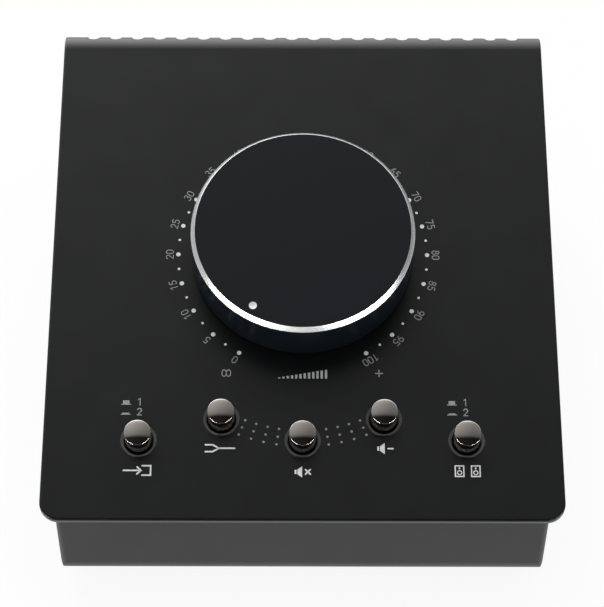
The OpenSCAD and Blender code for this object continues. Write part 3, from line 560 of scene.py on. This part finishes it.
anodised = turned_metal("black_anodised", (0.0042, 0.0062, 0.0082), 0.33, pitch=0.12, relief=0.10,
                        metallic=0.0, specular=0.24)
# The wall's copy of the black anodising is paler and bluer than the top. This is a painted reflection of the
# room in front of the knob.
anodised_painted_reflection = turned_metal("black_anodised_painted_reflection", (0.0085, 0.0150, 0.0215), 0.33, pitch=0.12, relief=0.10,
                             metallic=0.0, specular=0.24)
cut_bright = turned_metal("cut_bright", (0.86, 0.86, 0.87), 0.27, pitch=0.08, relief=0.12)
dimple_fill = turned_metal("dimple_fill", (0.80, 0.80, 0.81), 0.35, pitch=0.20, relief=0.20, metallic=0.0)
knob = make_knob()
sink_pointer(knob)
set_down(knob)
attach(knob, "knob")
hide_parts("knob_shell", "pointer_dot")

# ---------------------------------------------------------------- buttons
# Five push caps, turned with a low crown and a round edge, polished and plated bright. A black
# collar under the face keeps each one in its hole, and a satin ring lines the hole's chamfer.
cap_plate = turned_metal("cap_plate", (0.45, 0.43, 0.40), 0.07, pitch=0.10, relief=0.02, streak=0.06)
collar_moulding = turned_metal("collar_moulding", (0.012, 0.012, 0.012), 0.60, pitch=0.20, metallic=0.0)


def make_cap(sign):
    """A push cap with a low crown, a rounded edge and a plated side that ends under the face."""
    cap_r = 3.5
    crown_rise = 0.4
    edge_r = 0.20
    crown_rows, edge_rows = 16, 12
    plated_to = -0.8
    collar_height = 0.8
    low, high = face_box(sign + "_cap")
    middle = (low + high) / 2
    collar_r = (high.x - low.x) / 2
    crown_r = (cap_r ** 2 + crown_rise ** 2) / (2 * crown_rise)
    crown_z = high.z - crown_r
    edge_z = crown_z + math.sqrt((crown_r - edge_r) ** 2 - (cap_r - edge_r) ** 2)
    crown_tilt = math.asin((cap_r - edge_r) / (crown_r - edge_r))
    outline = []
    for k in range(crown_rows):
        tilt = crown_tilt * k / crown_rows
        outline.append(Vector((crown_r * math.sin(tilt), crown_z + crown_r * math.cos(tilt))))
    for k in range(edge_rows + 1):
        tilt = crown_tilt + (math.pi / 2 - crown_tilt) * k / edge_rows
        outline.append(Vector((cap_r - edge_r + edge_r * math.sin(tilt), edge_z + edge_r * math.cos(tilt))))
    collar_z = low.z + collar_height
    outline += [Vector((cap_r, plated_to)), Vector((cap_r, collar_z)), Vector((collar_r, collar_z)),
                Vector((collar_r, low.z)), Vector((0, low.z))]

    def plate_or_collar(strip):
        return collar_moulding if strip.y < plated_to else cap_plate

    place = face @ Matrix.Translation(Vector((middle.x, middle.y, 0)) * mm)
    cap = turn_piece(sign + "_button", outline, place, [cap_plate, collar_moulding], plate_or_collar,
                     turns=128)
    set_down(cap)
    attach(cap, sign + "_button")
    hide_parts(sign + "_cap")


ring_satin = turned_metal("ring_satin", (0.078, 0.080, 0.084), 0.50, pitch=0.15, relief=0.10, metallic=0.0)


def make_ring(sign):
    """The satin ring that lines the sunk chamfer round a button's hole."""
    hole_r = 3.95
    ring_w = 0.75
    skin = 0.03
    lift = 0.02
    low, high = face_box(sign + "_cap")
    middle = (low + high) / 2
    brim_r, brim_z, foot_z = hole_r + ring_w - lift, -lift / 2, lift - ring_w
    outline = [Vector((brim_r, brim_z)), Vector((brim_r - skin, brim_z)),
               Vector((hole_r - skin, foot_z)), Vector((hole_r, foot_z))]
    place = face @ Matrix.Translation(Vector((middle.x, middle.y, 0)) * mm)
    ring = turn_piece(sign + "_ring", outline, place, [ring_satin], turns=96)
    set_down(ring)
    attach(ring, "case")


for sign in signs:
    make_cap(sign)
    make_ring(sign)

# ---------------------------------------------------------------- printing on the face
# Pale ink screened on the paint: a scale of dots and numbers round the knob, a small sign at each
# button, and two fans of dots between the middle ones. Each mark stands 0.03 mm off the paint.
ink_height = 0.03
ink_foot = -0.01
sign_line = 0.42


def fill(marks, outline):
    """A flat shape of ink inside an outline."""
    marks.faces.new([marks.verts.new((x * mm, y * mm, ink_height * mm)) for x, y in outline])


def bow(cx, cy, rx, ry, start, end, steps=14):
    """Points on an arc, in degrees counter-clockwise from the right."""
    return [(cx + rx * math.cos(math.radians(start + (end - start) * k / steps)),
             cy + ry * math.sin(math.radians(start + (end - start) * k / steps))) for k in range(steps + 1)]


def loop(cx, cy, rx, ry, steps=28):
    return bow(cx, cy, rx, ry, 0, 360, steps)[:-1]


def oblong(left, low, right, high):
    return [(left, low), (right, low), (right, high), (left, high)]


def dot(marks, x, y, d):
    fill(marks, loop(x, y, d / 2, d / 2, steps=24))


def stroke(marks, points, width, closed=False):
    """A line of ink of even width along points, with round ends."""
    end_steps = 6
    sharpest = 0.6
    points = [Vector(point) for point in points]
    count = len(points)

    def corner(place):
        return marks.verts.new((place.x * mm, place.y * mm, ink_height * mm))

    left, right = [], []
    for i, point in enumerate(points):
        ways = []
        if i or closed:
            ways.append((point - points[i - 1]).normalized())
        if i < count - 1 or closed:
            ways.append((points[(i + 1) % count] - point).normalized())
        sides = [Vector((-way.y, way.x)) for way in ways]
        side = sum(sides, Vector((0, 0))).normalized()
        reach = width / 2 / max(sharpest, side.dot(sides[0]))
        left.append(point + side * reach)
        right.append(point - side * reach)
    made = [[corner(place) for place in edge] for edge in (left, right)]
    for i in range(count if closed else count - 1):
        j = (i + 1) % count
        marks.faces.new([made[0][i], made[1][i], made[1][j], made[0][j]])
    if closed:
        return
    for i, first, last in ((0, 0, 1), (count - 1, 1, 0)):
        spoke = Vector(made[first][i].co[:2]) / mm - points[i]
        rim = []
        for k in range(1, end_steps):
            a = math.pi * k / end_steps
            rim.append(points[i] + Vector((spoke.x * math.cos(a) - spoke.y * math.sin(a),
                                           spoke.x * math.sin(a) + spoke.y * math.cos(a))))
        marks.faces.new([made[first][i], *[corner(place) for place in rim], made[last][i]])


# Each digit's strokes at a height of 1, and whether a stroke closes on itself. Wide is how far the
# round digits reach to each side.
wide = 0.27
digits = {
    "0": [(bow(0, 1 - wide, wide, wide, 0, 180) + bow(0, wide, wide, wide, 180, 360), True)],
    "1": [([(-0.20, 0.80), (0.05, 1), (0.05, 0)], False)],
    "2": [(bow(0, 0.73, wide, wide, 165, -35) + [(-wide, 0), (wide, 0)], False)],
    "3": [(bow(-0.02, 0.76, 0.25, 0.24, 150, -90) + bow(-0.02, 0.26, 0.28, 0.26, 90, -150), False)],
    "4": [([(0.12, 0), (0.12, 1), (-wide, 0.28), (0.30, 0.28)], False)],
    "5": [([(0.23, 1), (-0.20, 1), (-0.22, 0.55)] + bow(-0.02, 0.31, 0.28, 0.31, 115, -150), False)],
    "6": [(loop(0, 0.29, wide, 0.29), True), (bow(0.17, 0.29, 0.44, 0.71, 180, 100), False)],
    "7": [([(-wide, 1), (wide, 1), (-0.08, 0)], False)],
    "8": [(loop(0, 0.76, 0.22, 0.24), True), (loop(0, 0.27, wide, 0.27), True)],
    "9": [(loop(0, 0.71, wide, 0.29), True), (bow(-0.17, 0.71, 0.44, 0.71, 0, -80), False)],
}


def write_number(marks, number, x, y, height, width, turn=0, radius=0):
    """Stands a number on (x, y), or at a radius from there in a direction turned clockwise from up."""
    pitch = 0.80
    ways = Matrix.Rotation(-math.radians(turn), 2)
    for i, digit in enumerate(number):
        shift = (i - (len(number) - 1) / 2) * pitch
        for points, closed in digits[digit]:
            placed = [ways @ Vector(((px + shift) * height, py * height + radius)) + Vector((x, y))
                      for px, py in points]
            stroke(marks, placed, width, closed)


def print_on_face(name, marks, ink):
    """Gives flat marks the thickness of the ink and lays them on the face."""
    marks.normal_update()
    for skin in marks.faces:
        if skin.normal.z < 0:
            skin.normal_flip()
    feet = bmesh.ops.extrude_face_region(marks, geom=marks.faces[:], use_keep_orig=True)
    for corner in feet["geom"]:
        if isinstance(corner, bmesh.types.BMVert):
            corner.co.z = ink_foot * mm
    bmesh.ops.recalc_face_normals(marks, faces=marks.faces)
    mesh = bpy.data.meshes.new(name)
    marks.to_mesh(mesh)
    marks.free()
    mesh.transform(face)
    mesh.materials.append(ink)
    piece = bpy.data.objects.new(name, mesh)
    bpy.context.scene.collection.objects.link(piece)
    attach(piece, "case")


def print_scale():
    """A large dot and a number every 15 degrees, from 0 to 100, and a small dot between each two."""
    dots_r, numbers_r = 33.6, 34.95
    large_dot, small_dot = 1.2, 0.7
    number_height, number_line = 1.9, 0.22
    first, last, step = -150, 150, 15
    value_step = 5
    dots = bmesh.new()
    numbers = bmesh.new()
    for i, turn in enumerate(range(first, last + 1, step)):
        a = math.radians(turn)
        dot(dots, dots_r * math.sin(a), dots_r * math.cos(a), large_dot)
        write_number(numbers, str(value_step * i), 0, 0, number_height, number_line, turn=turn,
                     radius=numbers_r)
        if turn < last:
            between = math.radians(turn + step / 2)
            dot(dots, dots_r * math.sin(between), dots_r * math.cos(between), small_dot)
    print_on_face("printed_scale_dots", dots, ink_pale)
    print_on_face("printed_scale_numbers", numbers, ink_dim)


def print_ends():
    """Two loops side by side at the scale's silent end, and a plus at its loud end."""
    x, y, height = 20.1, -34.95, 1.9
    loop_aside, loop_half, loop_line = 0.58, 0.56, 0.24
    plus_line = 0.3
    reach = height / 2
    marks = bmesh.new()
    for side in (-1, 1):
        stroke(marks, loop(-x + side * loop_aside, y, loop_half, reach), loop_line, closed=True)
    for points in ([(x - reach, y), (x + reach, y)], [(x, y - reach), (x, y + reach)]):
        stroke(marks, points, plus_line)
    print_on_face("printed_scale_ends", marks, ink_dim)


def print_level_bars():
    """Rising bars under the knob, for its volume."""
    foot = -36.45
    bars, pitch, width, tallest = 12, 1.12, 0.62, 2.5
    head_start = 0.5
    marks = bmesh.new()
    for i in range(bars):
        x = (i - (bars - 1) / 2) * pitch
        height = tallest * (i + 1 + head_start) / (bars + head_start)
        fill(marks, oblong(x - width / 2, foot, x + width / 2, foot + height))
    print_on_face("printed_level_bars", marks, ink_mid)


def print_push_keys():
    """Above the outer buttons: a key and 1 for the button out, a lower key and 2 for it pushed in."""
    outer_x, key_aside, key_up = 42.6, 3.55, 0.1
    number_height, number_line = 1.9, 0.26
    out_foot, in_foot = -44.15, -46.95
    plate_half, plate_height, button_half = 1.3, 0.22, 0.85
    out_height, in_height = 1.25, 0.55
    marks = bmesh.new()
    for x in (-outer_x, outer_x):
        for number, foot, button_height in (("1", out_foot, out_height), ("2", in_foot, in_height)):
            write_number(marks, number, x, foot, number_height, number_line)
            key_x = x - key_aside
            low = foot + key_up
            middle, high = low + plate_height, low + button_height
            fill(marks, [(key_x - plate_half, low), (key_x + plate_half, low),
                         (key_x + plate_half, middle), (key_x + button_half, middle),
                         (key_x + button_half, high), (key_x - button_half, high),
                         (key_x - button_half, middle), (key_x - plate_half, middle)])
    print_on_face("printed_push_keys", marks, ink_dim)


def draw_source(marks, x, y):
    """A line with an arrowhead, which points into an open box."""
    tail, line_end = -3.6, 0.9
    barb, tip, barb_half = -0.1, 0.95, 0.95
    box_left, box_right, box_half = 1.2, 3.4, 1.3
    stroke(marks, [(x + tail, y), (x + line_end, y)], sign_line)
    stroke(marks, [(x + barb, y + barb_half), (x + tip, y), (x + barb, y - barb_half)], sign_line)
    stroke(marks, [(x + box_left, y + box_half), (x + box_right, y + box_half),
                   (x + box_right, y - box_half), (x + box_left, y - box_half)], sign_line)


def draw_mono(marks, x, y):
    """Two lines that become one."""
    left, bend, join, right, apart_half = -3.8, -1.9, -0.3, 3.8, 0.95
    stroke(marks, [(x + left, y + apart_half), (x + bend, y + apart_half), (x + join, y), (x + right, y)],
           sign_line)
    stroke(marks, [(x + left, y - apart_half), (x + bend, y - apart_half), (x + join, y)], sign_line)


def draw_driver(marks, x, y):
    """A driver seen from the side: its magnet and its cone."""
    magnet_left, magnet_right, magnet_half = -2.05, -1.55, 0.55
    cone_left, cone_right, neck_half, mouth_half = -1.35, -0.10, 0.62, 1.55
    fill(marks, oblong(x + magnet_left, y - magnet_half, x + magnet_right, y + magnet_half))
    fill(marks, [(x + cone_left, y - neck_half), (x + cone_right, y - mouth_half),
                 (x + cone_right, y + mouth_half), (x + cone_left, y + neck_half)])


def draw_beside_driver(marks, x, y, rises):
    """A driver and, beside its cone, one line for each rise: a minus, or the two of a cross."""
    near, far = 0.75, 2.0
    draw_driver(marks, x, y)
    for rise in rises:
        stroke(marks, [(x + near, y - rise), (x + far, y + rise)], sign_line)


def draw_monitor(marks, x, y):
    """A pair of loudspeakers, each with its two drivers."""
    aside, box_half_width, box_half_height, box_line = 2.1, 1.1, 1.45, 0.32
    woofer_r, woofer_down, woofer_line = 0.55, 0.42, 0.26
    tweeter_d, tweeter_up = 0.5, 0.78
    for box_x in (x - aside, x + aside):
        stroke(marks, oblong(box_x - box_half_width, y - box_half_height,
                             box_x + box_half_width, y + box_half_height), box_line, closed=True)
        stroke(marks, loop(box_x, y - woofer_down, woofer_r, woofer_r), woofer_line, closed=True)
        dot(marks, box_x, y + tweeter_up, tweeter_d)


def print_signs():
    """One sign under each button."""
    outer_x, outer_y = 42.6, -62.4
    inner_x, inner_y = 21.4, -56.2
    middle_y = -62.7
    cross_rise = 0.62
    marks = bmesh.new()
    draw_source(marks, -outer_x, outer_y)
    draw_mono(marks, -inner_x, inner_y)
    draw_beside_driver(marks, 0, middle_y, [-cross_rise, cross_rise])
    draw_beside_driver(marks, inner_x, inner_y, [0])
    draw_monitor(marks, outer_x, outer_y)
    print_on_face("printed_signs", marks, ink_pale)


def print_fans():
    """Two fans of small dots between the three middle buttons, in three rows on arcs round one point."""
    arcs_y, dot_d = -11.5, 0.65
    rows = (39.75, 41.95, 44.10)
    turns = (8.85, 13.27, 17.69, 22.10)
    marks = bmesh.new()
    for r in rows:
        for turn in turns:
            for side in (-1, 1):
                a = math.radians(turn)
                dot(marks, side * r * math.sin(a), arcs_y - r * math.cos(a), dot_d)
    print_on_face("printed_fans", marks, ink_faint)


def make_ink(name, level):
    return finish(name, (level, level, level * 1.01), 0.55, size=0.08, patch=0.8, relief=0.2, tone=0.10)


ink_pale = make_ink("ink_pale", 0.78)
ink_mid = make_ink("ink_mid", 0.52)
ink_dim = make_ink("ink_dim", 0.30)
ink_faint = make_ink("ink_faint", 0.22)
print_scale()
print_ends()
print_level_bars()
print_push_keys()
print_signs()
print_fans()
